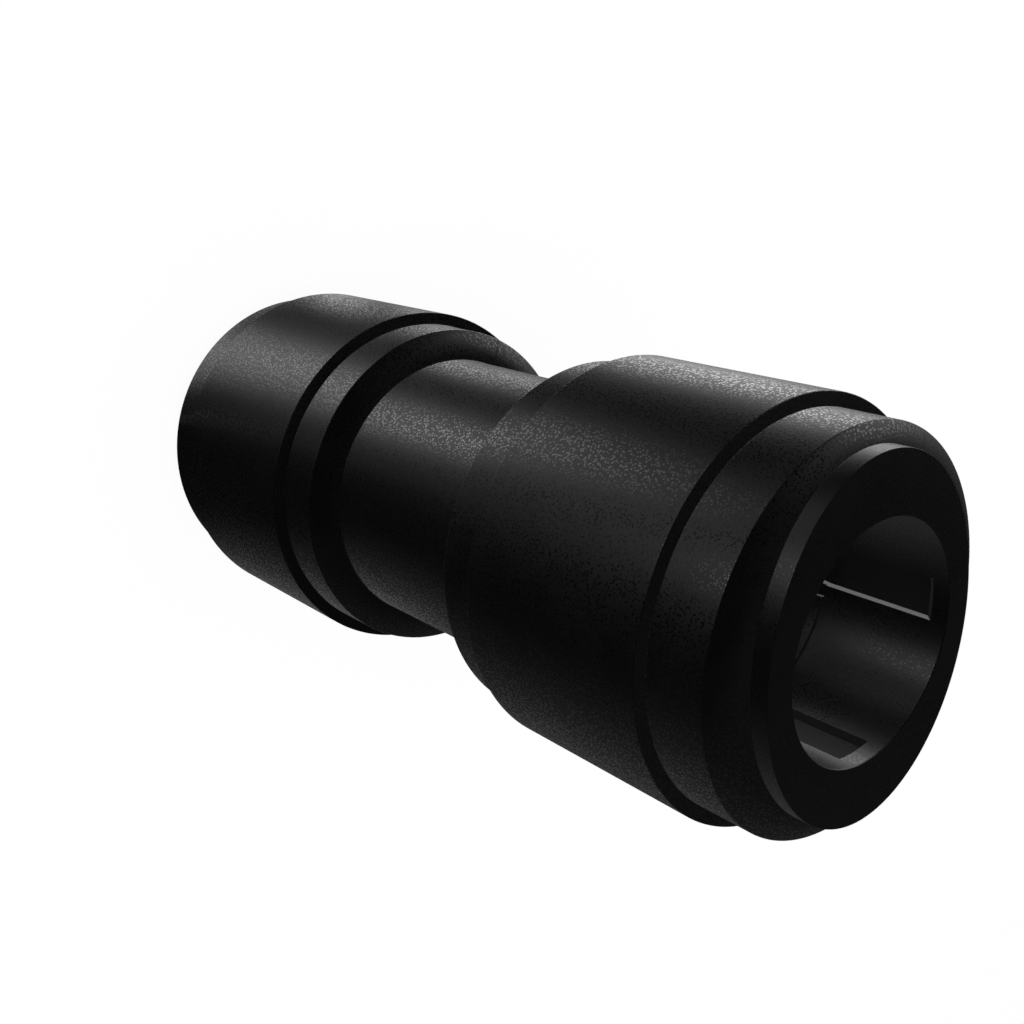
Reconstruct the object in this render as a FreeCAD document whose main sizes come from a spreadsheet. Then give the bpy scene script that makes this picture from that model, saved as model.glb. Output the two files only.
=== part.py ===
import FreeCAD, Part
import math
import os
import re

import Sketcher

# Straight push-fit union for plastic tube, standing on its lower collet.
# Every piece is drawn in millimetres for the upper half, with Z measured up from
# the middle of the neck. The lower half has the same pieces turned over.

doc = FreeCAD.newDocument("union_connector")


# Sizes

SIZES = [
    ("tube_diameter", 12.7, "outside diameter of the tube that the union joins"),
    ("tube_clearance", 0.1, "radial play of the tube in the plastic bores"),
    ("collet_wall", 0.8, "wall of the collet's fingers"),
    ("mouth_clearance", 0.25, "radial play of the fingers in the mouth of the cap"),
    ("cam_rise", 1.25, "how far the cap's inner cone opens behind the mouth"),
    ("cap_wall", 1.25, "wall of the cap behind its cone"),
    ("seat_clearance", 0.02, "radial play of the cap in the body before welding"),
    ("barrel_wall", 1.68, "wall of the body round the cap"),
    ("nose_step", 0.8, "radial step from the barrel down to the nose"),
    ("shoulder_step", 0.8, "radial step from the barrel down to the shoulder"),
    ("neck_wall", 2.5, "wall of the neck round the tube"),
    ("stop_lip", 1.7, "radial height of the stop that the tube ends meet"),
    ("stop_thickness", 1.8, "length of that stop along the axis"),
    ("socket_length", 7.3, "length of the tube's bearing behind the seal"),
    ("socket_lead", 0.4, "chamfer where the tube enters that bearing"),
    ("seal_section", 2.62, "thickness of the O-ring"),
    ("seal_squeeze", 0.37, "how far the O-ring reaches inside the tube's surface"),
    ("seal_room", 0.28, "spare length of the seal's chamber"),
    ("seal_clearance", 0.02, "play between the O-ring and the wall of its chamber"),
    ("spacer_thickness", 1.1, "thickness of the washer over the seal"),
    ("spacer_play", 0.25, "radial play of the tube in that washer"),
    ("spacer_fit", 0.1, "radial play of the washer in the body"),
    ("end_gap", 0.45, "free length between the washer and the pushed-in collet"),
    ("collet_length", 15.0, "length of the collet"),
    ("travel", 1.5, "how far the collet slides out"),
    ("flange_thickness", 1.0, "thickness of the collet's flange"),
    ("flange_long_reach", 3.45, "how far the oval flange stands out, long way"),
    ("flange_short_reach", 1.8, "how far the oval flange stands out, short way"),
    ("flange_gap", 0.03, "gap between the flange and the nose, pushed in"),
    ("bore_lead", 0.12, "chamfer at the mouth of the collet's bore"),
    ("bore_relief", 0.2, "how far the bore opens behind the fronts of the grip pads"),
    ("dome_rise", 0.52, "rise of the domed rings of the nose and the shoulder"),
    ("nose_flat", 1.45, "width of the flat ring round the mouth"),
    ("nose_length", 3.45, "length of the nose's cylinder"),
    ("mouth_lead", 0.15, "chamfer at the mouth of the cap"),
    ("barrel_length", 12.45, "length of the barrel's largest cylinder"),
    ("shoulder_length", 3.05, "length of the shoulder's cylinder"),
    ("cam_depth", 5.3, "length of the cap's mouth from the dome's edge to the cone"),
    ("cam_angle", 13.0, "slope of the cap's cone to the axis, in degrees"),
    ("cam_gap", 0.08, "radial gap left at the cone with the collet out"),
    ("head_rise", 1.1, "how far the finger's head stands out of the finger"),
    ("head_chamfer", 0.4, "chamfer at the inner end of the fingers"),
    ("slot_start", 0.95, "distance from the collet's face to its slots"),
    ("slot_angle", 21.6, "width of each slot round the axis, in degrees"),
    ("slot_slope", 45.0, "slope of the root of the slot, in degrees"),
    ("pad_start", 7.6, "distance from the collet's face to its grip pads"),
    ("pad_height", 0.26, "how far a grip pad stands in from the bore"),
    ("pad_margin", 5.9, "angle between a slot and a grip pad, in degrees"),
    ("pad_end", 0.65, "distance from a grip pad to the inner end of the collet"),
    ("tooth_bite", 0.33, "how far a tooth reaches inside the tube's surface"),
    ("tooth_setback", 0.95, "distance from a tooth's tip to the collet's inner end"),
    ("tooth_lean", 35.0, "slope of a tooth to the axis, in degrees"),
    ("tooth_length", 2.6, "length of a tooth"),
    ("tooth_thickness", 0.4, "thickness of a tooth"),
    ("tooth_width", 2.2, "width of a tooth"),
    ("tooth_bevel", 0.35, "length of the ground edge at a tooth's tip"),
    ("tooth_fit", 0.01, "gap between a tooth and the plastic moulded round it"),
]
FINGER_COUNT = 4
TEETH_PER_FINGER = 2

sheet = doc.addObject("Spreadsheet::Sheet", "Sizes")
for row, (alias, value, meaning) in enumerate(SIZES, start=1):
    sheet.set(f"A{row}", alias)
    sheet.set(f"B{row}", str(value))
    sheet.set(f"C{row}", meaning)
    sheet.setAlias(f"B{row}", alias)
doc.recompute()


def value(expression):
    """Number that an expression on the sheet's cells stands for."""
    return float(sheet.evalExpression(expression))


def bound(expression):
    """The same expression as another object of the document reads it."""
    aliases = "|".join(alias for alias, _, _ in SIZES)
    return re.sub(rf"\b({aliases})\b", r"Sizes.\1", expression)


# Radii from the axis, each worked out from the tube outwards

TUBE = "(tube_diameter / 2)"
BORE = f"({TUBE} + tube_clearance)"
FINGER = f"({BORE} + collet_wall)"
MOUTH = f"({FINGER} + mouth_clearance)"
CONE = f"({MOUTH} + cam_rise)"
SPIGOT = f"({CONE} + cap_wall)"
SEAT = f"({SPIGOT} + seat_clearance)"
BARREL = f"({SEAT} + barrel_wall)"
NOSE = f"({BARREL} - nose_step)"
SHOULDER = f"({BARREL} - shoulder_step)"
NECK = f"({BORE} + neck_wall)"
WATERWAY = f"({BORE} - stop_lip)"
CHAMBER = f"({TUBE} - seal_squeeze + seal_section)"
NOSE_FLAT = f"({MOUTH} + nose_flat)"
HEAD = f"({FINGER} + head_rise)"
PAD = f"({BORE} - pad_height)"
RELIEF = f"({BORE} + bore_relief)"
TOOTH_TIP = f"({TUBE} - tooth_bite)"

# Heights above the middle, each worked out from the stop outwards

STOP = "(stop_thickness / 2)"
CHAMBER_FLOOR = f"({STOP} + socket_length)"
LEDGE = f"({CHAMBER_FLOOR} + seal_section + seal_room)"
CAP_END = f"({LEDGE} + spacer_thickness)"
COLLET_END = f"({CAP_END} + end_gap)"
FACE = f"({COLLET_END} + collet_length)"
FLANGE_BACK = f"({FACE} - flange_thickness)"
NOSE_TOP = f"({FLANGE_BACK} - flange_gap)"
NOSE_EDGE = f"({NOSE_TOP} - dome_rise)"
STEP = f"({NOSE_EDGE} - nose_length)"
BARREL_BACK = f"({STEP} - barrel_length)"
SHOULDER_EDGE = f"({BARREL_BACK} - shoulder_length)"
NECK_ROOT = f"({SHOULDER_EDGE} - dome_rise)"
CAM_TOP = f"({NOSE_EDGE} - cam_depth)"
CAM_LOW = f"({CAM_TOP} - cam_rise / tan(cam_angle))"
HEAD_TOP = f"({CAM_TOP} - travel + (mouth_clearance - cam_gap) / tan(cam_angle))"
HEAD_LOW = f"({HEAD_TOP} - head_rise / tan(cam_angle))"
PAD_TOP = f"({FACE} - pad_start)"
PAD_LOW = f"({COLLET_END} + pad_end)"
TOOTH_LOW = f"({COLLET_END} + tooth_setback)"

# Angles round the axis, in degrees: the slots are at 0, 90, 180 and 270, the fingers between

FINGER_PITCH = 360 / FINGER_COUNT
PAD_ANGLE = f"({FINGER_PITCH} - slot_angle - 2 * pad_margin)"


def tooth_angle(number):
    """Direction of a tooth: those of one finger share the width of its pad."""
    finger = number // TEETH_PER_FINGER
    place = number % TEETH_PER_FINGER - (TEETH_PER_FINGER - 1) / 2
    return f"{FINGER_PITCH * (finger + 0.5)} + {place} * {PAD_ANGLE} / {TEETH_PER_FINGER}"


def dome_radius(width):
    """Radius of an arc that leaves a flat ring level and has the dome's rise over this width."""
    return f"(({width}) ^ 2 + dome_rise ^ 2) / (2 * dome_rise)"


# Drawing

def origin_plane(body, role):
    """One of a body's own origin planes or axes, by its role."""
    return next(feature for feature in body.Origin.OriginFeatures if feature.Role == role)


def new_body(name):
    body = doc.addObject("PartDesign::Body", name)
    body.Label = name
    return body


def flat_sketch(body, name, height):
    """Sketch on a level plane at a bound height."""
    sketch = body.newObject("Sketcher::SketchObject", name)
    sketch.AttachmentSupport = [(origin_plane(body, "XY_Plane"), "")]
    sketch.MapMode = "FlatFace"
    sketch.setExpression("AttachmentOffset.Base.z", bound(height))
    return sketch


def upright_sketch(body, name, angle="0"):
    """Sketch on an upright plane through the axis, turned by a bound angle from +X."""
    sketch = body.newObject("Sketcher::SketchObject", name)
    sketch.AttachmentSupport = [(origin_plane(body, "XZ_Plane"), "")]
    sketch.MapMode = "FlatFace"
    if angle != "0":
        sketch.AttachmentOffset = FreeCAD.Placement(
            FreeCAD.Vector(), FreeCAD.Rotation(FreeCAD.Vector(0, 1, 0), value(angle)))
        sketch.setExpression("AttachmentOffset.Rotation.Angle", bound(angle))
    return sketch


def pin_point(sketch, edge, corner, number, across, along):
    """Ties one corner of a sketch to expressions for its two coordinates."""
    for kind, axis, expression, label in (
            ("DistanceX", -2, across, "across"), ("DistanceY", -1, along, "along")):
        if expression == "0":
            sketch.addConstraint(Sketcher.Constraint("PointOnObject", edge, corner, axis))
            continue
        name = f"{label}{number}"
        index = sketch.addConstraint(
            Sketcher.Constraint(kind, -1, 1, edge, corner, value(expression)))
        sketch.renameConstraint(index, name)
        sketch.setExpression(f"Constraints.{name}", bound(expression))


def draw_outline(sketch, corners):
    """Closed outline from corners (across, along), where a third entry is the radius
    expression of an arc to the next corner. The arc bulges to the right of its run."""
    places = [FreeCAD.Vector(value(corner[0]), value(corner[1]), 0) for corner in corners]
    arcs = []
    for number, corner in enumerate(corners):
        start = places[number]
        end = places[(number + 1) % len(places)]
        if len(corner) == 2:
            sketch.addGeometry(Part.LineSegment(start, end), False)
            continue
        radius = value(corner[2])
        run = end - start
        half = run.Length / 2
        rise = radius - math.sqrt(radius * radius - half * half)
        right = FreeCAD.Vector(run.y, -run.x, 0).normalize()
        middle = start + run * 0.5 + right * rise
        arc = Part.Arc(start, middle, end)
        sketch.addGeometry(arc, False)
        arcs.append((number, corner[2]))
    # An arc's first point is its clockwise end, so each join is found by place.
    near = 1e-6

    def end_at(edge, place):
        if sketch.getPoint(edge, 1).distanceToPoint(place) < near:
            return 1
        return 2

    count = len(corners)
    for number in range(count):
        following = (number + 1) % count
        join = places[following]
        sketch.addConstraint(Sketcher.Constraint(
            "Coincident", number, end_at(number, join), following, end_at(following, join)))
    for number, corner in enumerate(corners):
        pin_point(sketch, number, end_at(number, places[number]), number, corner[0], corner[1])
    for number, expression in arcs:
        index = sketch.addConstraint(Sketcher.Constraint("Radius", number, value(expression)))
        sketch.renameConstraint(index, f"radius{number}")
        sketch.setExpression(f"Constraints.radius{number}", bound(expression))


def draw_circle(sketch, name, radius):
    """Circle round the sketch's origin with a bound radius."""
    edge = sketch.addGeometry(
        Part.Circle(FreeCAD.Vector(), FreeCAD.Vector(0, 0, 1), value(radius)), False)
    sketch.addConstraint(Sketcher.Constraint("Coincident", edge, 3, -1, 1))
    index = sketch.addConstraint(Sketcher.Constraint("Radius", edge, value(radius)))
    sketch.renameConstraint(index, name)
    sketch.setExpression(f"Constraints.{name}", bound(radius))


def draw_oval(sketch, long_radius, short_radius):
    """Ellipse round the sketch's origin, long way across."""
    edge = sketch.addGeometry(
        Part.Ellipse(FreeCAD.Vector(), value(long_radius), value(short_radius)), False)
    sketch.exposeInternalGeometry(edge)
    long_axis = edge + 1
    short_axis = edge + 2
    sketch.addConstraint(Sketcher.Constraint("Coincident", edge, 3, -1, 1))
    sketch.addConstraint(Sketcher.Constraint("Horizontal", long_axis))
    for axis, name, radius in ((long_axis, "long", long_radius), (short_axis, "short", short_radius)):
        index = sketch.addConstraint(Sketcher.Constraint("Distance", axis, 2 * value(radius)))
        sketch.renameConstraint(index, name)
        sketch.setExpression(f"Constraints.{name}", bound(f"2 * {radius}"))


def revolve(body, sketch, name, kind="PartDesign::Revolution", angle=None):
    """Turns a sketch round its own upright axis, all the way or by a bound angle."""
    feature = body.newObject(kind, name)
    feature.Profile = sketch
    feature.ReferenceAxis = (sketch, ["V_Axis"])
    feature.Angle = 360
    if angle is not None:
        feature.Midplane = True
        feature.Angle = value(angle)
        feature.setExpression("Angle", bound(angle))
    doc.recompute()
    return feature


def repeat_round(body, features, name, count):
    """Repeats features round the Z axis."""
    pattern = body.newObject("PartDesign::PolarPattern", name)
    pattern.Originals = features
    pattern.Axis = (origin_plane(body, "Z_Axis"), [""])
    pattern.Angle = 360
    pattern.Occurrences = count
    body.Tip = pattern
    doc.recompute()
    return pattern


def volume_change(body, name, before, grows):
    """Stops the build if a feature added or cut nothing."""
    change = body.Shape.Volume - before
    if (change > 0) != grows or abs(change) < 1e-3:
        raise RuntimeError(f"{body.Label}: {name} changed the volume by {change:.4f}")


# Pieces

def make_body():
    """Neck and barrels: half of the section turned, then mirrored about the middle."""
    body = new_body("body")
    sketch = upright_sketch(body, "section")
    draw_outline(sketch, [
        (WATERWAY, "0"),
        (NECK, "0"),
        (NECK, NECK_ROOT, dome_radius(f"{SHOULDER} - {NECK}")),
        (SHOULDER, SHOULDER_EDGE),
        (SHOULDER, BARREL_BACK),
        (BARREL, BARREL_BACK),
        (BARREL, STEP),
        (SEAT, STEP),
        (SEAT, LEDGE),
        (CHAMBER, LEDGE),
        (CHAMBER, CHAMBER_FLOOR),
        (f"{BORE} + socket_lead", CHAMBER_FLOOR),
        (BORE, f"{CHAMBER_FLOOR} - socket_lead"),
        (BORE, STOP),
        (WATERWAY, STOP),
    ])
    upper_half = revolve(body, sketch, "upper_half")
    before = body.Shape.Volume
    both = body.newObject("PartDesign::Mirrored", "both_halves")
    both.Originals = [upper_half]
    both.MirrorPlane = (origin_plane(body, "XY_Plane"), [""])
    body.Tip = both
    doc.recompute()
    volume_change(body, "the mirror", before, True)
    return body


def make_cap(side):
    """Domed nose with a spigot that is welded into the barrel and a cone for the fingers."""
    body = new_body(f"{side}_cap")
    sketch = upright_sketch(body, "section")
    draw_outline(sketch, [
        (CONE, CAP_END),
        (SPIGOT, CAP_END),
        (SPIGOT, STEP),
        (NOSE, STEP),
        (NOSE, NOSE_EDGE, dome_radius(f"{NOSE} - {NOSE_FLAT}")),
        (NOSE_FLAT, NOSE_TOP),
        (f"{MOUTH} + mouth_lead", NOSE_TOP),
        (MOUTH, f"{NOSE_TOP} - mouth_lead"),
        (MOUTH, CAM_TOP),
        (CONE, CAM_LOW),
    ])
    revolve(body, sketch, "turned")
    return body


def tooth_outline(play):
    """Corners of a tooth's side view, grown by play all round. The tooth leans out
    from its tip towards the mouth, with its tip ground to an edge."""
    lean_out = "sin(tooth_lean)"
    lean_up = "cos(tooth_lean)"

    def place(run, rise):
        across = f"{TOOTH_TIP} + ({run}) * {lean_out} + ({rise}) * {lean_up}"
        along = f"{TOOTH_LOW} + ({run}) * {lean_up} - ({rise}) * {lean_out}"
        return (across, along)

    return [
        place(f"-1 * {play}", f"-1 * {play}"),
        place(f"tooth_bevel - {play}", f"tooth_thickness + {play}"),
        place(f"tooth_length + {play}", f"tooth_thickness + {play}"),
        place(f"tooth_length + {play}", f"-1 * {play}"),
    ]


def make_collet(side):
    """Oval flange and a slotted sleeve whose fingers end in thick heads with grip pads."""
    body = new_body(f"{side}_collet")

    flange_sketch = flat_sketch(body, "flange_outline", FLANGE_BACK)
    draw_oval(flange_sketch, f"({BORE} + flange_long_reach)", f"({BORE} + flange_short_reach)")
    draw_circle(flange_sketch, "hole", f"({BORE} + collet_wall / 2)")
    flange = body.newObject("PartDesign::Pad", "flange")
    flange.Profile = flange_sketch
    flange.setExpression("Length", bound("flange_thickness"))
    doc.recompute()

    sleeve_sketch = upright_sketch(body, "sleeve_section")
    draw_outline(sleeve_sketch, [
        (RELIEF, COLLET_END),
        (f"{HEAD} - head_chamfer", COLLET_END),
        (HEAD, f"{COLLET_END} + head_chamfer"),
        (HEAD, HEAD_LOW),
        (FINGER, HEAD_TOP),
        (FINGER, FACE),
        (f"{BORE} + bore_lead", FACE),
        (BORE, f"{FACE} - bore_lead"),
        (BORE, PAD_TOP),
        (RELIEF, PAD_TOP),
    ])
    before = body.Shape.Volume
    revolve(body, sleeve_sketch, "sleeve")
    volume_change(body, "the sleeve", before, True)

    pad_sketch = upright_sketch(body, "pad_section", f"{FINGER_PITCH / 2}")
    pad_back = f"({BORE} + collet_wall / 2)"
    draw_outline(pad_sketch, [
        (pad_back, PAD_LOW),
        (pad_back, PAD_TOP),
        (PAD, PAD_TOP),
        (PAD, f"{PAD_LOW} + pad_height + bore_relief"),
        (RELIEF, PAD_LOW),
    ])
    before = body.Shape.Volume
    pad = revolve(body, pad_sketch, "grip_pad", angle=PAD_ANGLE)
    repeat_round(body, [pad], "grip_pads", FINGER_COUNT)
    volume_change(body, "the pads", before, True)

    slot_sketch = upright_sketch(body, "slot_section")
    slot_top = f"({FACE} - slot_start)"
    slot_far = f"({HEAD} + collet_wall)"
    slot_near = f"({PAD} - collet_wall)"
    slot_low = f"({COLLET_END} - collet_wall)"
    draw_outline(slot_sketch, [
        (slot_near, slot_low),
        (slot_far, slot_low),
        (slot_far, f"{slot_top} - ({slot_far} - {BORE}) * tan(slot_slope)"),
        (BORE, slot_top),
        (slot_near, slot_top),
    ])
    before = body.Shape.Volume
    slot = revolve(body, slot_sketch, "slot", "PartDesign::Groove", "slot_angle")
    repeat_round(body, [slot], "slots", FINGER_COUNT)
    volume_change(body, "the slots", before, False)

    before = body.Shape.Volume
    beds = []
    for number in range(TEETH_PER_FINGER):
        bed_sketch = upright_sketch(body, f"tooth_bed_section_{number + 1}", tooth_angle(number))
        draw_outline(bed_sketch, tooth_outline("tooth_fit"))
        bed = body.newObject("PartDesign::Pocket", f"tooth_bed_{number + 1}")
        bed.Profile = bed_sketch
        bed.SideType = "Symmetric"
        bed.setExpression("Length", bound("tooth_width + 2 * tooth_fit"))
        doc.recompute()
        beds.append(bed)
    repeat_round(body, beds, "tooth_beds", FINGER_COUNT)
    volume_change(body, "the tooth beds", before, False)
    return body


def make_tooth(side, number):
    """Flat spring steel tooth in its finger, drawn from the side."""
    body = new_body(f"{side}_tooth_{number + 1}")
    sketch = upright_sketch(body, "side_view", tooth_angle(number))
    draw_outline(sketch, tooth_outline("0"))
    blade = body.newObject("PartDesign::Pad", "blade")
    blade.Profile = sketch
    blade.SideType = "Symmetric"
    blade.setExpression("Length", bound("tooth_width"))
    doc.recompute()
    return body


def make_seal(side):
    """O-ring, drawn at the origin. It goes in the middle of its chamber's length."""
    ring = doc.addObject("Part::Torus", f"{side}_o_ring")
    ring.Label = f"{side}_o_ring"
    ring.setExpression("Radius1", bound(f"{CHAMBER} - seal_clearance - seal_section / 2"))
    ring.setExpression("Radius2", bound("seal_section / 2"))
    return ring


def make_spacer(side):
    """Washer that the cap's spigot holds down over the seal."""
    body = new_body(f"{side}_spacer")
    sketch = flat_sketch(body, "washer_outline", LEDGE)
    draw_circle(sketch, "rim", f"({SEAT} - spacer_fit)")
    draw_circle(sketch, "hole", f"({TUBE} + spacer_play)")
    washer = body.newObject("PartDesign::Pad", "washer")
    washer.Profile = sketch
    washer.setExpression("Length", bound("spacer_thickness"))
    doc.recompute()
    return body


def stand(piece, side, height="0"):
    """Lifts a piece so that the union stands on its lower face. A lower piece is turned over.
    The height is that of the piece's own origin above or below the middle."""
    if side == "lower":
        turn = FreeCAD.Rotation(FreeCAD.Vector(1, 0, 0), 180)
        lift = f"{FACE} - ({height})"
    else:
        turn = FreeCAD.Rotation()
        lift = f"{FACE} + ({height})"
    piece.Placement = FreeCAD.Placement(FreeCAD.Vector(0, 0, value(lift)), turn)
    piece.setExpression("Placement.Base.z", bound(lift))


# Assembly

body_piece = make_body()
stand(body_piece, "upper")
pieces = [body_piece]
for side in ("upper", "lower"):
    group = [make_cap(side), make_collet(side), make_spacer(side)]
    group += [make_tooth(side, number) for number in range(FINGER_COUNT * TEETH_PER_FINGER)]
    for piece in group:
        stand(piece, side)
    seal = make_seal(side)
    stand(seal, side, f"({CHAMBER_FLOOR} + {LEDGE}) / 2")
    pieces += group + [seal]
doc.recompute()

# Checks before anything is written

for item in doc.Objects:
    if "Invalid" in item.State or "Error" in item.State:
        raise RuntimeError(f"{item.Label} did not build: {item.State}")
for piece in pieces:
    if piece.Shape.isNull() or not piece.Shape.isValid():
        raise RuntimeError(f"{piece.Label} has no valid shape")
    if len(piece.Shape.Solids) != 1:
        raise RuntimeError(f"{piece.Label} has {len(piece.Shape.Solids)} solids")

os.makedirs("parts", exist_ok=True)
for piece in pieces:
    piece.Shape.exportStep(f"parts/{piece.Label}.step")
    print(piece.Label, "volume", round(piece.Shape.Volume, 3), "faces", len(piece.Shape.Faces))
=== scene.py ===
import math

import bpy
from mathutils import Matrix, Vector


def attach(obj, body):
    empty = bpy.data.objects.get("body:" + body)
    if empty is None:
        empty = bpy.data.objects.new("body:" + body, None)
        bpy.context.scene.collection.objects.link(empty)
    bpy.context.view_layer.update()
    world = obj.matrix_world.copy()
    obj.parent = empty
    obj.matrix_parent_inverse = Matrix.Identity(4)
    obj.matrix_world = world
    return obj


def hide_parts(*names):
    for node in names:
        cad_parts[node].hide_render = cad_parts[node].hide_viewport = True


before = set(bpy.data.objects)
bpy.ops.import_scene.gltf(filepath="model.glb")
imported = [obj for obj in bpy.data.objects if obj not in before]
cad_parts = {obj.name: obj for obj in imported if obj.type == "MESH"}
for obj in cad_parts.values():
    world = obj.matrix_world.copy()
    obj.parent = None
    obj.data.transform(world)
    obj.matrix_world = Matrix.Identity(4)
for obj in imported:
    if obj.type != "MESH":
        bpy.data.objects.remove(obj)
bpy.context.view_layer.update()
print("frame loaded:", len(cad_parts), "nodes")

# Pieces are drawn in millimetres, with height measured up from the middle of the neck,
# and shrunk to metres when they are finished.
middleHeight = 27.65


# Hand tools

weldRings = 0.002         # millimetres within which the points of a turned piece are joined
weldBlocks = 0.0005       # the same for the small blocks and beds
creaseAngle = 35          # degrees between two faces that keep a crisp edge
levelWeight = 80          # pull of the broad faces on the shading beside a bevel, where 50 is even


def selectOnly(piece):
    bpy.ops.object.select_all(action="DESELECT")
    piece.select_set(True)
    bpy.context.view_layer.objects.active = piece


def applyModifier(piece, kind, **settings):
    selectOnly(piece)
    modifier = piece.modifiers.new(kind.lower(), kind)
    for key, value in settings.items():
        setattr(modifier, key, value)
    bpy.ops.object.modifier_apply(modifier=modifier.name)


def copyOf(piece, name):
    twin = piece.copy()
    twin.data = piece.data.copy()
    twin.name = name
    twin.data.name = name
    bpy.context.scene.collection.objects.link(twin)
    return twin


# Points of an arc that leaves the level ring at (radius, height) and ends at (endRadius, endHeight)
def domeRings(radius, height, endRadius, endHeight, steps=12):
    width = endRadius - radius
    rise = endHeight - height
    arcRadius = (width * width + rise * rise) / (2 * abs(rise))
    widest = math.asin(width / arcRadius)
    rings = []
    for step in range(1, steps):
        angle = widest * step / steps
        drop = arcRadius * (1 - math.cos(angle))
        rings.append((radius + arcRadius * math.sin(angle), height + math.copysign(drop, rise)))
    return rings


# Draws a closed section round the axis: each ring is (radius, height) or (long, short, height)
def turned(name, rings, sides):
    rings = [ring if len(ring) == 3 else (ring[0], ring[0], ring[1]) for ring in rings]
    bpy.ops.object.select_all(action="DESELECT")
    bpy.ops.mesh.primitive_circle_add(vertices=sides, radius=1, location=(0, 0, 0))
    piece = bpy.context.object
    piece.name = name
    piece.data.name = name
    bpy.ops.object.mode_set(mode="EDIT")
    bpy.ops.mesh.select_all(action="SELECT")
    last = (1, 1, 0)
    for number, ring in enumerate(rings + rings[:1]):
        rise = (0, 0, ring[2] - last[2])
        if number == 0:
            bpy.ops.transform.translate(value=rise)
        else:
            bpy.ops.mesh.extrude_edges_move(TRANSFORM_OT_translate={"value": rise})
        bpy.ops.transform.resize(
            value=(ring[0] / last[0], ring[1] / last[1], 1), center_override=(0, 0, 0))
        last = ring
    bpy.ops.mesh.select_all(action="SELECT")
    bpy.ops.mesh.remove_doubles(threshold=weldRings)
    bpy.ops.mesh.normals_make_consistent(inside=False)
    bpy.ops.object.mode_set(mode="OBJECT")
    return piece


# Block whose upright side view is a rectangle with one corner cut off, spun part of the way round
def spunBlock(name, inner, outer, low, high, cutPoint, cutSide, angle, toward, stepAngle=1.4):
    bpy.ops.object.select_all(action="DESELECT")
    middle = ((inner + outer) / 2, 0, (low + high) / 2)
    bpy.ops.mesh.primitive_plane_add(size=1, location=middle, rotation=(math.pi / 2, 0, 0))
    block = bpy.context.object
    block.name = name
    bpy.ops.object.transform_apply(location=True, rotation=True, scale=True)
    bpy.ops.object.mode_set(mode="EDIT")
    bpy.ops.mesh.select_all(action="SELECT")
    bpy.ops.transform.resize(value=(outer - inner, 1, high - low), center_override=middle)
    bpy.ops.mesh.bisect(
        plane_co=(cutPoint[0], 0, cutPoint[1]), plane_no=(cutSide[0], 0, cutSide[1]), clear_outer=True)
    bpy.ops.mesh.select_all(action="SELECT")
    bpy.ops.mesh.spin(
        steps=round(angle / stepAngle), angle=math.radians(angle), center=(0, 0, 0), axis=(0, 0, 1))
    bpy.ops.mesh.select_all(action="SELECT")
    bpy.ops.mesh.remove_doubles(threshold=weldBlocks)
    bpy.ops.mesh.normals_make_consistent(inside=False)
    bpy.ops.object.mode_set(mode="OBJECT")
    reach = [math.atan2(v.co.y, v.co.x) for v in block.data.vertices]
    block.rotation_euler.z = math.radians(toward) - (min(reach) + max(reach)) / 2
    bpy.ops.object.transform_apply(location=True, rotation=True, scale=True)
    return block


# Cuts or joins a tool as many times as there are turns, evenly round the axis
def carve(piece, tool, operation, turns):
    for turn in range(turns):
        tool.rotation_euler.z = 2 * math.pi * turn / turns
        bpy.context.view_layer.update()
        applyModifier(piece, "BOOLEAN", object=tool, operation=operation, solver="EXACT")
    bpy.data.objects.remove(tool)


def roundEdges(piece, width, segments, aboveAngle):
    applyModifier(piece, "BEVEL", width=width, segments=segments, limit_method="ANGLE",
                  angle_limit=math.radians(aboveAngle))


# Smooth faces, crisp creases, and level light across the broad faces beside a bevel
def smooth(piece):
    selectOnly(piece)
    bpy.ops.object.shade_smooth_by_angle(angle=math.radians(creaseAngle))
    applyModifier(piece, "WEIGHTED_NORMAL", keep_sharp=True, weight=levelWeight)


# Puts a finished piece in the union, at the upper or, turned over, at the lower end
def settle(piece, side, node, bodyName, material):
    turn = Matrix.Rotation(math.pi, 4, "X") if side == "lower" else Matrix.Identity(4)
    piece.matrix_world = Matrix.Scale(0.001, 4) @ Matrix.Translation((0, 0, middleHeight)) @ turn
    selectOnly(piece)
    bpy.ops.object.transform_apply(location=True, rotation=True, scale=True)
    piece.data.materials.clear()
    piece.data.materials.append(material)
    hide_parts(node)
    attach(piece, bodyName)
    piece.visible_glossy = False        # the plastic mirrors the glowing sheet of painted reflections round it, not its own walls


# Finishes


# A socket that can stand in a sum: each sign adds its Math node
class Wire:
    def __init__(self, tree, socket):
        self.tree = tree
        self.socket = socket

    def sum(self, operation, first, second):
        return self.tree.add("ShaderNodeMath", {"operation": operation}, {0: first, 1: second})

    def __add__(self, other):
        return self.sum("ADD", self, other)

    def __radd__(self, other):
        return self.sum("ADD", other, self)

    def __sub__(self, other):
        return self.sum("SUBTRACT", self, other)

    def __rsub__(self, other):
        return self.sum("SUBTRACT", other, self)

    def __mul__(self, other):
        return self.sum("MULTIPLY", self, other)

    def __rmul__(self, other):
        return self.sum("MULTIPLY", other, self)


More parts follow.
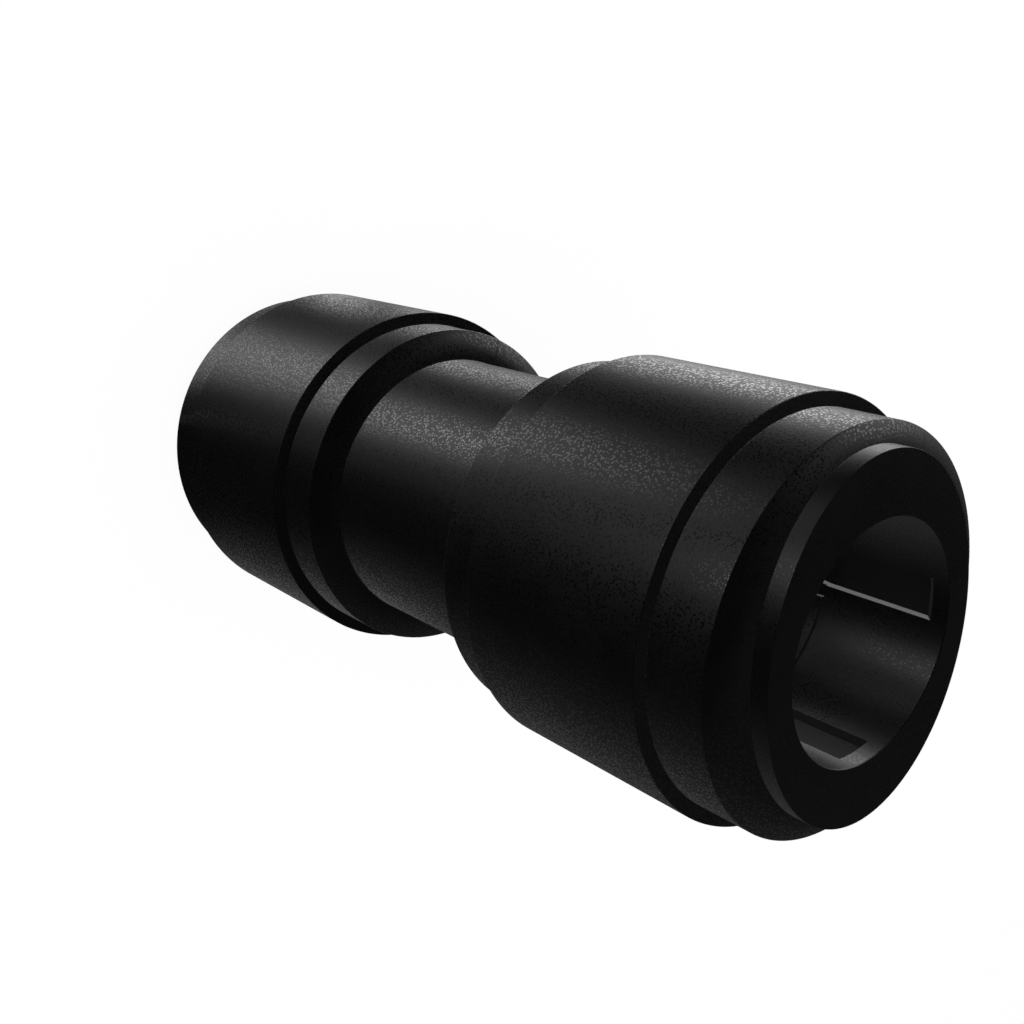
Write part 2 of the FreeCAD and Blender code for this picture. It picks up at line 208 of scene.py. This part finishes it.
class Tree:
    def __init__(self, owner):
        owner.use_nodes = True
        self.nodes = owner.node_tree.nodes
        self.links = owner.node_tree.links
        self.nodes.clear()

    # One node: its settings first, then the values or wires of its sockets
    def add(self, kind, settings=None, sockets=None, output=0):
        node = self.nodes.new(kind)
        for key, value in (settings or {}).items():
            if key == "stops":
                while len(node.color_ramp.elements) < len(value):
                    node.color_ramp.elements.new(0.5)
                for element, (place, colour) in zip(node.color_ramp.elements, value):
                    element.position = place
                    element.color = (*colour, 1)
            else:
                setattr(node, key, value)
        for key, value in (sockets or {}).items():
            if isinstance(value, Wire):
                self.links.new(value.socket, node.inputs[key])
            else:
                node.inputs[key].default_value = value
        return Wire(self, node.outputs[output]) if len(node.outputs) else None

    # Place on the piece in millimetres
    def place(self, stretch=(1, 1, 1)):
        spot = self.add("ShaderNodeTexCoord", output="Object")
        scale = tuple(1000 * part for part in stretch)
        return self.add("ShaderNodeMapping", sockets={"Vector": spot, "Scale": scale})

    def noise(self, spot, scale, detail=2, roughness=0.5):
        return self.add("ShaderNodeTexNoise", sockets={
            "Vector": spot, "Scale": scale, "Detail": detail, "Roughness": roughness})

    # Runs from 0 to 1 as a value goes from low to high, softly at both ends
    def fade(self, value, low, high):
        return self.add("ShaderNodeMapRange", {"interpolation_type": "SMOOTHSTEP"}, {
            "Value": value, "From Min": low, "From Max": high}, output="Result")

    def blend(self, factor, first, second):
        return self.add("ShaderNodeMix", {"data_type": "RGBA"}, {
            0: factor, 6: (*first, 1), 7: (*second, 1)}, output=2)


plasticLooks = {
    "deep": (0.0005, 0.0005, 0.0005),
    "dusty": (0.0010, 0.0010, 0.0011),
    "grainScale": 7.5,          # grains to the millimetre
    "grainHeight": 0.0000060,   # metres, for a noise that runs from 0 to 1
    "speckScale": 6.0,          # specks to the millimetre
    "speckEdge": (0.30, 0.42),  # where a speck begins to fade and where it ends, as shares of its cell
    "cloudScale": 0.28,         # slow changes over the surface, and their pull on the roughness
    "cloudEdge": (0.35, 0.7),
    "cloudDepth": 0.08,
    "satin": 0.42,              # roughness between the specks, and on them
    "speck": 0.20,
    "shine": 0.55,              # clear skin on the specks, and its roughness
    "shineRoughness": 0.13,
    "flashHeight": 0.012,       # parting line, in millimetres, or 0 for none
    "flashEdge": (0.02, 0.07),  # how far from its middle it begins to fall, and where it ends
    "flashAngle": 150,          # degrees round the axis
    "mattWithin": 0,            # radius in millimetres inside which the mould left it matt
    "mattEdge": 0.1,            # width over which it turns matt, and its roughness there
    "matt": 0.7,
}


# Spark-eroded finish of a moulded part: satin with fine bright specks, and the mould's parting
# line down both sides
def mouldedPlastic(name, look):
    material = bpy.data.materials.new(name)
    tree = Tree(material)
    spot = tree.place()
    grain = tree.noise(spot, look["grainScale"], detail=1)
    nearest = tree.add("ShaderNodeTexVoronoi", {"feature": "F1"},
                       {"Vector": spot, "Scale": look["speckScale"]}, output="Distance")
    specks = 1 - tree.fade(nearest, *look["speckEdge"])
    cloud = tree.noise(spot, look["cloudScale"], detail=3, roughness=0.6)
    height = grain
    if look["flashHeight"]:
        across = math.radians(look["flashAngle"] + 90)
        off = tree.add("ShaderNodeVectorMath", {"operation": "DOT_PRODUCT"},
                       {0: spot, 1: (math.cos(across), math.sin(across), 0)}, output="Value")
        away = tree.add("ShaderNodeMath", {"operation": "ABSOLUTE"}, {0: off})
        flash = 1 - tree.fade(away, *look["flashEdge"])
        height = grain + flash * (look["flashHeight"] / 1000 / look["grainHeight"])
    colour = tree.blend(tree.fade(cloud, *look["cloudEdge"]), look["deep"], look["dusty"])
    roughness = look["satin"] + specks * (look["speck"] - look["satin"]) \
        + (cloud - 0.5) * look["cloudDepth"]
    shine = specks * look["shine"]
    if look["mattWithin"]:
        level = tree.place((1, 1, 0))
        radius = tree.add("ShaderNodeVectorMath", {"operation": "LENGTH"}, {0: level}, output="Value")
        matt = 1 - tree.fade(radius, look["mattWithin"], look["mattWithin"] + look["mattEdge"])
        roughness = roughness + matt * (look["matt"] - roughness)
        shine = shine * (1 - matt)
    bump = tree.add("ShaderNodeBump", sockets={
        "Strength": 1.0, "Distance": look["grainHeight"], "Height": height})
    shader = tree.add("ShaderNodeBsdfPrincipled", sockets={
        "Base Color": colour, "Roughness": roughness, "Normal": bump, "IOR": 1.5,
        "Coat Weight": shine, "Coat Roughness": look["shineRoughness"], "Coat IOR": 1.5})
    tree.add("ShaderNodeOutputMaterial", sockets={"Surface": shader})
    return material


sealLooks = {
    "deep": (0.002, 0.002, 0.002),
    "bloom": (0.008, 0.008, 0.008),
    "bloomScale": 1.1,
    "bloomEdge": (0.4, 0.75),
    "skinScale": 9,
    "skinHeight": 0.000004,     # metres
    "roughness": 0.42,
    "roughnessSpread": 0.2,
}


# Black rubber, with a little bloom on it
def sealRubber(look):
    material = bpy.data.materials.new("sealRubber")
    tree = Tree(material)
    spot = tree.place()
    bloom = tree.noise(spot, look["bloomScale"], detail=4, roughness=0.65)
    skin = tree.noise(spot, look["skinScale"])
    bump = tree.add("ShaderNodeBump", sockets={
        "Strength": 1.0, "Distance": look["skinHeight"], "Height": skin})
    shader = tree.add("ShaderNodeBsdfPrincipled", sockets={
        "Base Color": tree.blend(tree.fade(bloom, *look["bloomEdge"]), look["deep"], look["bloom"]),
        "Roughness": look["roughness"] + (bloom - 0.5) * look["roughnessSpread"],
        "Normal": bump, "IOR": 1.52})
    tree.add("ShaderNodeOutputMaterial", sockets={"Surface": shader})
    return material


toothLooks = {
    "bright": (0.62, 0.61, 0.59),
    "dull": (0.42, 0.42, 0.42),
    "patchScale": 1.6,
    "lineStretch": (6, 6, 0.6),
    "lineScale": 2.2,
    "lineHeight": 0.000002,     # metres
    "roughness": 0.26,
    "roughnessSpread": 0.25,
}


# Rolled spring steel: fine lines along the strip, duller in patches
def toothSteel(look):
    material = bpy.data.materials.new("toothSteel")
    tree = Tree(material)
    lines = tree.noise(tree.place(look["lineStretch"]), look["lineScale"], detail=3, roughness=0.6)
    patches = tree.noise(tree.place(), look["patchScale"])
    bump = tree.add("ShaderNodeBump", sockets={
        "Strength": 1.0, "Distance": look["lineHeight"], "Height": lines})
    shader = tree.add("ShaderNodeBsdfPrincipled", sockets={
        "Base Color": tree.blend(patches, look["bright"], look["dull"]), "Metallic": 1.0,
        "Roughness": look["roughness"] + (lines - 0.5) * look["roughnessSpread"], "Normal": bump})
    tree.add("ShaderNodeOutputMaterial", sockets={"Surface": shader})
    return material


housingLooks = dict(plasticLooks, mattWithin=7.6)
colletLooks = dict(plasticLooks, satin=0.36, speck=0.27, shine=0.10, flashHeight=0)
spacerLooks = dict(plasticLooks, deep=(0.012, 0.012, 0.012), dusty=(0.018, 0.018, 0.018),
                   satin=0.45, speck=0.35, shine=0, flashHeight=0)

housingPlastic = mouldedPlastic("housingPlastic", housingLooks)
colletPlastic = mouldedPlastic("colletPlastic", colletLooks)
spacerPlastic = mouldedPlastic("spacerPlastic", spacerLooks)
rubber = sealRubber(sealLooks)
steel = toothSteel(toothLooks)
print("finishes mixed")


# Body

body = {
    "sides": 240,
    "waterway": 4.75, "bore": 6.45, "lead": 0.4, "chamber": 8.6, "seat": 10.02,
    "neck": 8.95, "shoulder": 10.9, "barrel": 11.7,
    "stop": 0.9, "chamberFloor": 8.2, "ledge": 11.1,
    "neckRoot": 6.63, "shoulderEdge": 7.15, "barrelBack": 10.2, "barrelFront": 22.65,
    "edge": 0.05, "edgeSteps": 3, "edgeAbove": 28,
}


def makeBody(size):
    upperHalf = [
        (size["neck"], size["neckRoot"]),
        *domeRings(size["neck"], size["neckRoot"], size["shoulder"], size["shoulderEdge"]),
        (size["shoulder"], size["shoulderEdge"]),
        (size["shoulder"], size["barrelBack"]),
        (size["barrel"], size["barrelBack"]),
        (size["barrel"], size["barrelFront"]),
        (size["seat"], size["barrelFront"]),
        (size["seat"], size["ledge"]),
        (size["chamber"], size["ledge"]),
        (size["chamber"], size["chamberFloor"]),
        (size["bore"] + size["lead"], size["chamberFloor"]),
        (size["bore"], size["chamberFloor"] - size["lead"]),
        (size["bore"], size["stop"]),
        (size["waterway"], size["stop"]),
    ]
    lowerHalf = [(radius, -height) for radius, height in reversed(upperHalf)]
    piece = turned("body_shell", upperHalf + lowerHalf, size["sides"])
    roundEdges(piece, size["edge"], size["edgeSteps"], size["edgeAbove"])
    smooth(piece)
    return piece


settle(makeBody(body), "upper", "body", "housing", housingPlastic)
print("body made")


# Caps

cap = {
    "sides": 240,
    "mouth": 7.5, "lead": 0.15, "cone": 8.75, "spigot": 10.0, "nose": 10.9, "flat": 8.95,
    "end": 12.2, "step": 22.65, "noseEdge": 26.1, "noseTop": 26.62, "camTop": 20.8, "camLow": 15.386,
    "edge": 0.04, "edgeSteps": 3, "edgeAbove": 28,
}


def makeCap(size):
    rings = [
        (size["cone"], size["end"]),
        (size["spigot"], size["end"]),
        (size["spigot"], size["step"]),
        (size["nose"], size["step"]),
        (size["nose"], size["noseEdge"]),
        *reversed(domeRings(size["flat"], size["noseTop"], size["nose"], size["noseEdge"])),
        (size["flat"], size["noseTop"]),
        (size["mouth"] + size["lead"], size["noseTop"]),
        (size["mouth"], size["noseTop"] - size["lead"]),
        (size["mouth"], size["camTop"]),
        (size["cone"], size["camLow"]),
    ]
    piece = turned("upper_cap_shell", rings, size["sides"])
    roundEdges(piece, size["edge"], size["edgeSteps"], size["edgeAbove"])
    smooth(piece)
    return piece


upperCap = makeCap(cap)
lowerCap = copyOf(upperCap, "lower_cap_shell")
settle(upperCap, "upper", "upper_cap", "housing", housingPlastic)
settle(lowerCap, "lower", "lower_cap", "housing", housingPlastic)
print("caps made")


# Collets

collet = {
    "sides": 240,
    "bore": 6.45, "lead": 0.04, "relief": 6.65, "finger": 7.12, "head": 8.35, "headChamfer": 0.4,
    "flangeLong": 9.9, "flangeShort": 8.25,
    "face": 27.65, "flangeBack": 26.65, "end": 12.65, "headTop": 20.036, "headLow": 15.272,
    "edge": 0.03, "edgeSteps": 2, "edgeAbove": 50,
    "fingers": 4, "teethInFinger": 2,
    "slotInner": 5.4, "slotOuter": 9.15, "slotLow": 11.85, "slotTop": 26.7, "slotAngle": 21.6,
    "slotSlope": (0.82, 1),
    "pad": 6.19, "padTop": 20.05, "padLow": 13.3, "padAngle": 56.6, "padFoot": 0.3, "padRise": 0.05,
    "bedPlay": 1.012,
}


def makeCollet(size):
    rings = [
        (size["relief"], size["end"]),
        (size["head"] - size["headChamfer"], size["end"]),
        (size["head"], size["end"] + size["headChamfer"]),
        (size["head"], size["headLow"]),
        (size["finger"], size["headTop"]),
        (size["finger"], size["flangeBack"]),
        (size["flangeLong"], size["flangeShort"], size["flangeBack"]),
        (size["flangeLong"], size["flangeShort"], size["face"]),
        (size["bore"] + size["lead"], size["face"]),
        (size["bore"], size["face"] - size["lead"]),
        (size["bore"], size["padTop"]),
        (size["relief"], size["padTop"]),
    ]
    piece = turned("upper_collet_shell", rings, size["sides"])
    roundEdges(piece, size["edge"], size["edgeSteps"], size["edgeAbove"])

    # grip pads stand in from the bore, one to each finger, with a sloped inner end and a foot
    # sunk in the wall
    firstFinger = 180 / size["fingers"]
    slope = (size["relief"], size["padLow"])
    pad = spunBlock("gripPad", size["pad"], size["finger"] - size["padFoot"],
                    size["padLow"] - size["padFoot"], size["padTop"] + size["padRise"],
                    slope, (-1, -1), size["padAngle"], firstFinger)
    carve(piece, pad, "UNION", size["fingers"])

    # slots part the fingers, with a sloped root under the flange
    slot = spunBlock("slot", size["slotInner"], size["slotOuter"], size["slotLow"], size["slotTop"],
                     (size["bore"], size["slotTop"]), size["slotSlope"], size["slotAngle"], 0)
    carve(piece, slot, "DIFFERENCE", size["fingers"])

    # the teeth stand in beds of their own shape
    for number in range(1, size["teethInFinger"] + 1):
        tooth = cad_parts[f"upper_tooth_{number}"]
        bed = copyOf(tooth, "toothBed")
        bed.parent = None
        bed.rotation_mode = "XYZ"
        bed.matrix_world = Matrix.Translation((0, 0, -middleHeight)) @ Matrix.Scale(1000, 4)
        selectOnly(bed)
        bpy.ops.object.transform_apply(location=True, rotation=True, scale=True)
        bpy.ops.object.mode_set(mode="EDIT")
        bpy.ops.mesh.select_all(action="SELECT")
        bpy.ops.mesh.remove_doubles(threshold=weldBlocks)
        bpy.ops.mesh.customdata_custom_splitnormals_clear()
        points = [v.co for v in tooth.data.vertices]
        middle = sum(points, Vector()) / len(points) * 1000 - Vector((0, 0, middleHeight))
        bpy.ops.transform.resize(value=(size["bedPlay"],) * 3, center_override=middle)
        bpy.ops.object.mode_set(mode="OBJECT")
        carve(piece, bed, "DIFFERENCE", size["fingers"])
    smooth(piece)
    return piece


upperCollet = makeCollet(collet)
lowerCollet = copyOf(upperCollet, "lower_collet_shell")
settle(upperCollet, "upper", "upper_collet", "upper_grip", colletPlastic)
settle(lowerCollet, "lower", "lower_collet", "lower_grip", colletPlastic)
print("collets made")


# What the union holds inside keeps its own solids

for name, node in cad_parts.items():
    finish = None
    if "_tooth_" in name:
        finish = steel
    elif name.endswith("_o_ring"):
        finish = rubber
    elif name.endswith("_spacer"):
        finish = spacerPlastic
    if finish is not None:
        node.data.materials.clear()
        node.data.materials.append(finish)
print("inner pieces dressed")


# Camera, in metres, with its lens and sensor in millimetres

view = {
    "place": (0.02797, 0.04731, 0.08622),
    "right": (-0.0533, -0.7640, 0.6431),
    "up": (0.9358, -0.2630, -0.2349),
    "lens": 43.34,
    "sensor": 36,
    "seesFrom": 0.005,
}


def makeCamera(look):
    data = bpy.data.cameras.new("camera")
    data.lens = look["lens"]
    data.sensor_width = look["sensor"]
    data.clip_start = look["seesFrom"]
    camera = bpy.data.objects.new("camera", data)
    bpy.context.scene.collection.objects.link(camera)
    right = Vector(look["right"]).normalized()
    back = right.cross(Vector(look["up"])).normalized()
    up = back.cross(right)
    turn = Matrix((right, up, back)).transposed().to_4x4()
    camera.matrix_world = Matrix.Translation(look["place"]) @ turn
    bpy.context.scene.camera = camera


makeCamera(view)
print("camera set")


# Floor, backdrop, glowing sheet of painted reflections, and light

studio = {
    "floorColour": (0.95, 0.95, 0.95),
    "floorGlow": 0.93,        # share of the floor's plain white, the rest takes the shadow
    "floorSide": 6,           # metres
    "surround": 0.65,         # world light on matt surfaces
    "lampWatts": 3.0,
    "lampPlace": (0.12, 0.30, 0.65),
    "lampAim": (0, 0, 0.03),
    "lampSize": 0.45,
    "tentRadius": 2.5,
    "tentFoot": 0.0001,       # the glowing sheet lies just over the floor
    "tentPaintedGlow": 0.017,        # dim painted glow of the sheet, seen as a faint reflection in the plastic
    "poolReach": 100,         # millimetres, the farthest place a pool's strength can be set
}


def showOnlyInMirrors(piece):
    piece.visible_camera = False
    piece.visible_diffuse = False
    piece.visible_transmission = False
    piece.visible_volume_scatter = False
    piece.visible_shadow = False


# 1 for rays from the eye, mirrors and glass, 0 for the light that falls on matt surfaces
def seenWhite(tree):
    isCamera = tree.add("ShaderNodeLightPath", output="Is Camera Ray")
    isGlossy = tree.add("ShaderNodeLightPath", output="Is Glossy Ray")
    isGlass = tree.add("ShaderNodeLightPath", output="Is Transmission Ray")
    return isCamera + isGlossy + isGlass


def makeWorld(look):
    world = bpy.data.worlds.new("world")
    bpy.context.scene.world = world
    tree = Tree(world)
    soft = tree.add("ShaderNodeBackground", sockets={"Color": (1, 1, 1, 1), "Strength": look["surround"]})
    white = tree.add("ShaderNodeBackground", sockets={"Color": (1, 1, 1, 1), "Strength": 1.0})
    mixed = tree.add("ShaderNodeMixShader", sockets={0: seenWhite(tree), 1: soft, 2: white})
    tree.add("ShaderNodeOutputWorld", sockets={"Surface": mixed})
    world.cycles.sampling_method = "NONE"               # its light is even and needs no map


def makeFloor(look):
    bpy.ops.object.select_all(action="DESELECT")
    bpy.ops.mesh.primitive_plane_add(size=look["floorSide"], location=(0, 0, 0))
    floor = bpy.context.object
    floor.name = "floor"
    material = bpy.data.materials.new("floorPaint")
    tree = Tree(material)
    matt = tree.add("ShaderNodeBsdfDiffuse", sockets={"Color": (*look["floorColour"], 1)})
    glow = tree.add("ShaderNodeEmission", sockets={"Color": (1, 1, 1, 1), "Strength": 1.0})
    share = seenWhite(tree) * look["floorGlow"]
    mixed = tree.add("ShaderNodeMixShader", sockets={0: share, 1: matt, 2: glow})
    tree.add("ShaderNodeOutputMaterial", sockets={"Surface": mixed})
    floor.data.materials.append(material)
    material.cycles.emission_sampling = "NONE"          # the floor is no lamp


# Pools of painted light on the glowing sheet, seen only as painted highlights and reflections in the
# plastic. Each opens like a fan from its apex on the floor, in millimetres, towards an angle. Its core
# holds a share of the light inside its halo. Its strength goes by distance, and it climbs the sheet to a
# height in degrees.
pools = {
    "back": {
        "apex": (9, 8), "toward": -72, "core": 23, "halo": 48, "share": 0.92,
        "low": 33, "high": 48,
        "strength": ((10, 0.4), (14, 1.2), (19, 0.5), (26, 1.3), (40, 1.3), (50, 2.0), (70, 2.4),
                     (90, 2.0)),
    },
    "side": {
        "apex": (-2, 5), "toward": 14, "core": 21, "halo": 36, "share": 0.8,
        "low": 0, "high": 10,
        "strength": ((10, 1.1), (35, 2.6), (45, 1.6), (60, 1.2), (80, 0.25)),
    },
    "corner": {
        "apex": (3, 10), "toward": 52, "core": 19, "halo": 19, "share": 1,
        "low": 0, "high": 20,
        "strength": ((40, 0.1), (66, 0.1), (90, 2.2)),
    },
    "front": {
        "apex": (0, 0), "toward": 180, "core": 75, "halo": 75, "share": 1,
        "low": 30, "high": 75,
        "strength": ((13, 0.25), (36, 0.11)),
    },
}


# Painted light of one pool at a place on the glowing sheet
def poolLight(tree, look, reach):
    fromApex = tree.add("ShaderNodeMapping", {"vector_type": "TEXTURE"}, {
        "Vector": tree.add("ShaderNodeTexCoord", output="Object"),
        "Location": (look["apex"][0] / 1000, look["apex"][1] / 1000, 0),
        "Rotation": (0, 0, math.radians(look["toward"])),
        "Scale": (0.001, 0.001, 1000)})         # in millimetres, with the height left out
    turn = tree.add("ShaderNodeTexGradient", {"gradient_type": "RADIAL"},
                    {"Vector": fromApex}, output="Fac")
    aside = tree.add("ShaderNodeMath", {"operation": "ABSOLUTE"}, {0: (turn - 0.5) * 360})
    fan = (1 - tree.fade(aside, 0, look["core"])) * look["share"] \
        + (1 - tree.fade(aside, 0, look["halo"])) * (1 - look["share"])
    away = tree.add("ShaderNodeVectorMath", {"operation": "LENGTH"}, {0: fromApex}, output="Value")
    level = tree.add("ShaderNodeValToRGB", {
        "stops": [(place / reach, (strength,) * 3) for place, strength in look["strength"]]},
        {"Fac": away * (1 / reach)})
    direction = tree.add("ShaderNodeVectorMath", {"operation": "NORMALIZE"}, {
        0: tree.add("ShaderNodeTexCoord", output="Object")})
    climb = tree.add("ShaderNodeVectorMath", {"operation": "DOT_PRODUCT"},
                     {0: direction, 1: (0, 0, 1)}, output="Value")
    low, high = (math.sin(math.radians(look[end])) for end in ("low", "high"))
    return level * fan * (1 - tree.fade(climb, low, high))


# A dark sheet glowing with painted pools of light hangs round the set and lies on the floor. It shows
# only in what the plastic mirrors, as painted reflections.
def makePaintedReflectionTent(look):
    material = bpy.data.materials.new("paintedReflectionSheet")
    tree = Tree(material)
    # painted reflections: the sheet's glow is its dim painted glow plus the painted pools of light
    light = sum((poolLight(tree, pool, look["poolReach"]) for pool in pools.values()),
                look["tentPaintedGlow"])
    glow = tree.add("ShaderNodeEmission", sockets={"Color": light, "Strength": 1.0})
    tree.add("ShaderNodeOutputMaterial", sockets={"Surface": glow})
    material.cycles.emission_sampling = "NONE"          # the glowing sheet is not sampled as a lamp
    bpy.ops.object.select_all(action="DESELECT")
    bpy.ops.mesh.primitive_uv_sphere_add(
        segments=48, ring_count=24, radius=look["tentRadius"], location=(0, 0, 0))
    tent = bpy.context.object
    tent.name = "paintedReflectionTent"
    bpy.ops.object.mode_set(mode="EDIT")
    bpy.ops.mesh.select_all(action="SELECT")
    bpy.ops.mesh.bisect(
        plane_co=(0, 0, look["tentFoot"]), plane_no=(0, 0, -1), use_fill=True, clear_outer=True)
    bpy.ops.object.mode_set(mode="OBJECT")
    tent.data.materials.append(material)
    showOnlyInMirrors(tent)


# Soft light from above and in front, for matt surfaces alone
def makeLamp(look):
    data = bpy.data.lights.new("overheadLamp", "AREA")
    data.shape = "DISK"
    data.size = look["lampSize"]
    data.energy = look["lampWatts"]
    lamp = bpy.data.objects.new("overheadLamp", data)
    bpy.context.scene.collection.objects.link(lamp)
    lamp.location = look["lampPlace"]
    aim = Vector(look["lampAim"]) - lamp.location
    lamp.rotation_euler = aim.to_track_quat("-Z", "Y").to_euler()
    lamp.visible_camera = False
    lamp.visible_glossy = False


makeWorld(studio)
makeFloor(studio)
makePaintedReflectionTent(studio)
makeLamp(studio)
bpy.context.scene.view_settings.view_transform = "Standard"
print("studio lit")

bpy.context.view_layer.update()
